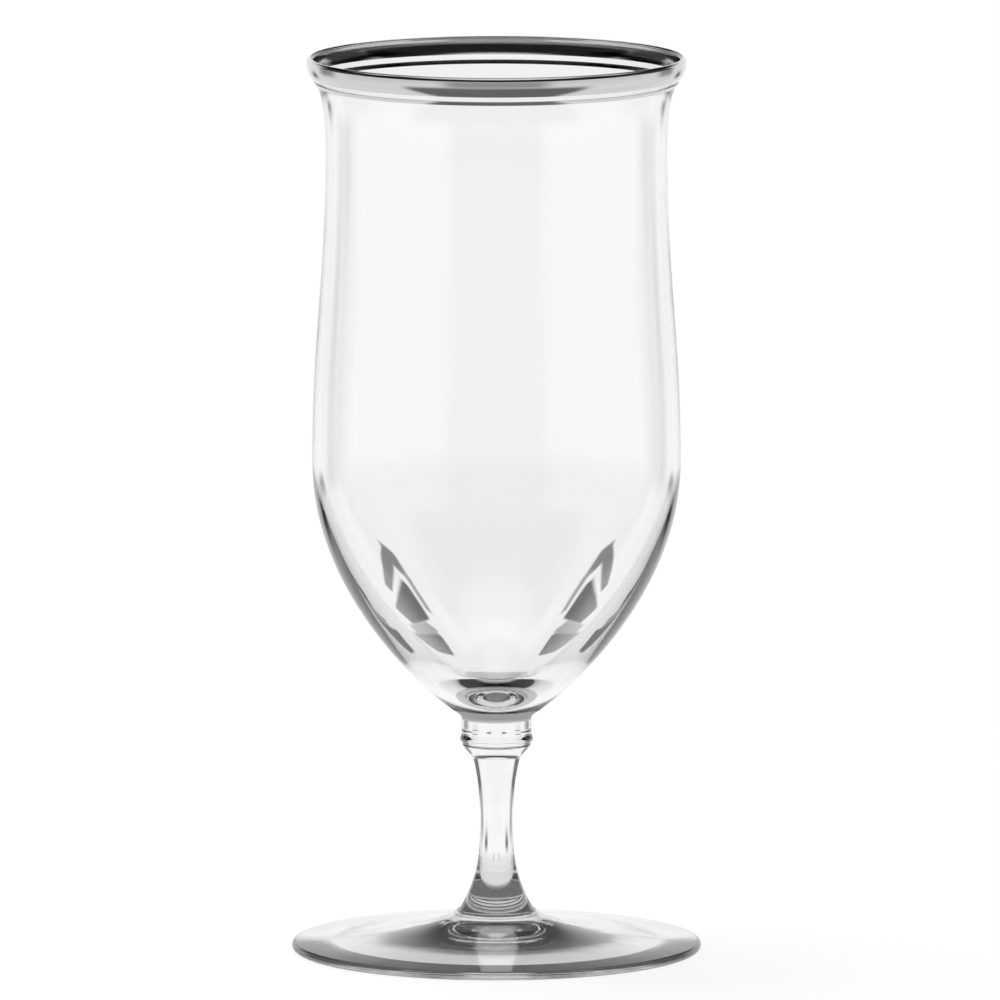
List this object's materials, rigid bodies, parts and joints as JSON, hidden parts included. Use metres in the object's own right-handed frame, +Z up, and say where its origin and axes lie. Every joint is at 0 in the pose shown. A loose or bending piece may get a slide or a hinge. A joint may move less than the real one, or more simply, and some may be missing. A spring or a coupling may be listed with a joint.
{
  "type": "goblet",
  "caption": "Tall footed drinking goblet in clear glass, with a flared lip ringed by bright metal, a deep tapering bowl, a beaded collar, a waisted stem and a disc foot.",
  "frame": {"origin": "middle of the flat ring under the foot, on the axis of the goblet", "axes": "+Z up along the axis of revolution, +X and +Y across the foot; it is the same from every side"},
  "size_m": [0.084, 0.084, 0.184],
  "materials": {
    "clear_glass": "fire-polished colourless glass",
    "bright_metal": "fired-on bright silvery lustre, mirror smooth"
  },
  "bodies": {
    "root": {"foot": "clear_glass", "stem": "clear_glass", "collar": "clear_glass", "bowl": "clear_glass", "rim_band": "bright_metal", "hairline_band": "bright_metal"}
  },
  "joints": []
}
